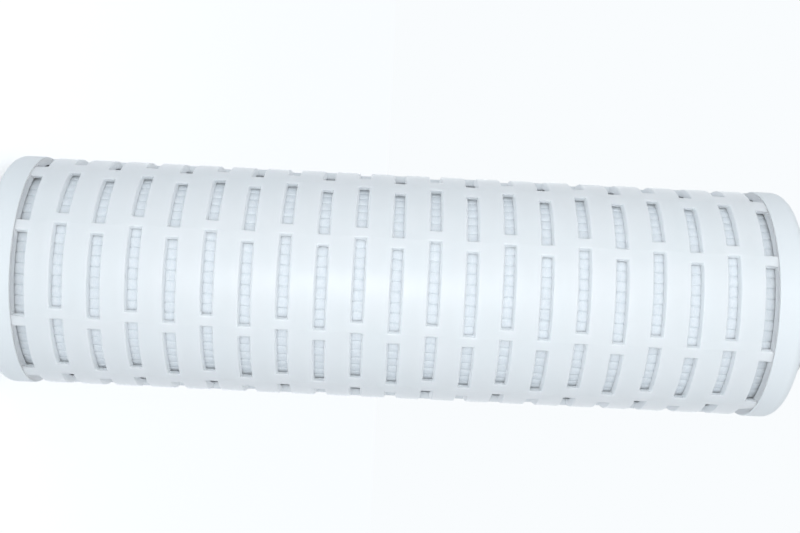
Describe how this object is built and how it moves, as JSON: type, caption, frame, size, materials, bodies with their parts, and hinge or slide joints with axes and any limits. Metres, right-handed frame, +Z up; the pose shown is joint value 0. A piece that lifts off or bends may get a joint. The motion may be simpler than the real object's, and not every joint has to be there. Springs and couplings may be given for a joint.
{
  "type": "pleated water filter cartridge",
  "caption": "Open-ended pleated filter cartridge: slotted moulded cage round a pleated sheet and a windowed core, with end caps and flat gaskets.",
  "frame": {"origin": "centre of the lower gasket's outer face, which is the bottom of the standing cartridge", "axes": "+Z up along the cartridge's axis; -Y is the side that the picture shows, where one slot of each row faces the viewer"},
  "size_m": [0.0706, 0.0706, 0.248],
  "materials": {
    "cage": "satin moulded polypropylene, cool white",
    "media": "matt nonwoven, white",
    "core": "satin moulded polypropylene, white",
    "cap": "satin moulded polypropylene, slightly greenish white",
    "gasket": "matt pale silicone"
  },
  "bodies": {
    "root": {"outer_cage": "cage", "pleated_sheet": "media", "inner_core": "core", "lower_end_cap": "cap", "upper_end_cap": "cap", "lower_gasket": "gasket", "upper_gasket": "gasket"}
  },
  "joints": []
}
